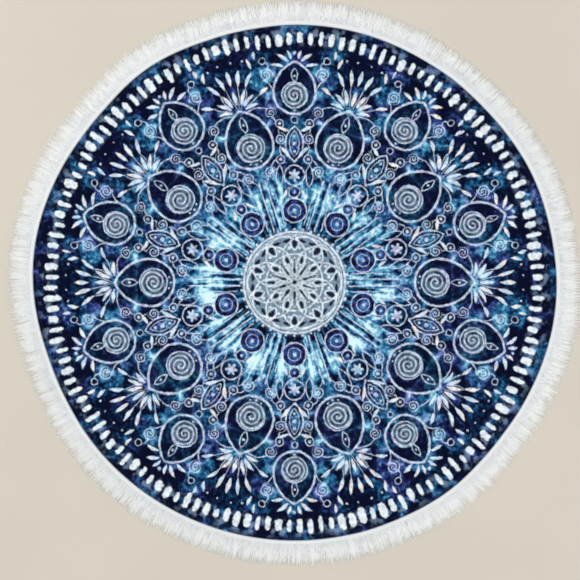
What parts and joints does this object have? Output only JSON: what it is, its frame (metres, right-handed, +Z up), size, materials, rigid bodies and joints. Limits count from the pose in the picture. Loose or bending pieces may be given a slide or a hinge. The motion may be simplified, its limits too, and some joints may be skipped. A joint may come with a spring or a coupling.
{
  "type": "round beach towel",
  "caption": "Round flat cotton beach towel with a printed medallion face, a turned hem and a white yarn fringe all round its rim.",
  "frame": {"origin": "on the floor under the middle of the towel, which lies flat", "axes": "+Z up from the floor to the printed face; +X towards the right of the towel as it lies, +Y towards its top"},
  "size_m": [1.5301, 1.506, 0.0085],
  "materials": {
    "printed_cloth": "matt short-pile terry, printed in indigo, blue and white",
    "white_cotton": "soft twisted cotton yarn and woven tape, undyed white"
  },
  "bodies": {
    "root": {"towel_cloth": "printed_cloth", "fringe_trim": "white_cotton"}
  },
  "joints": []
}
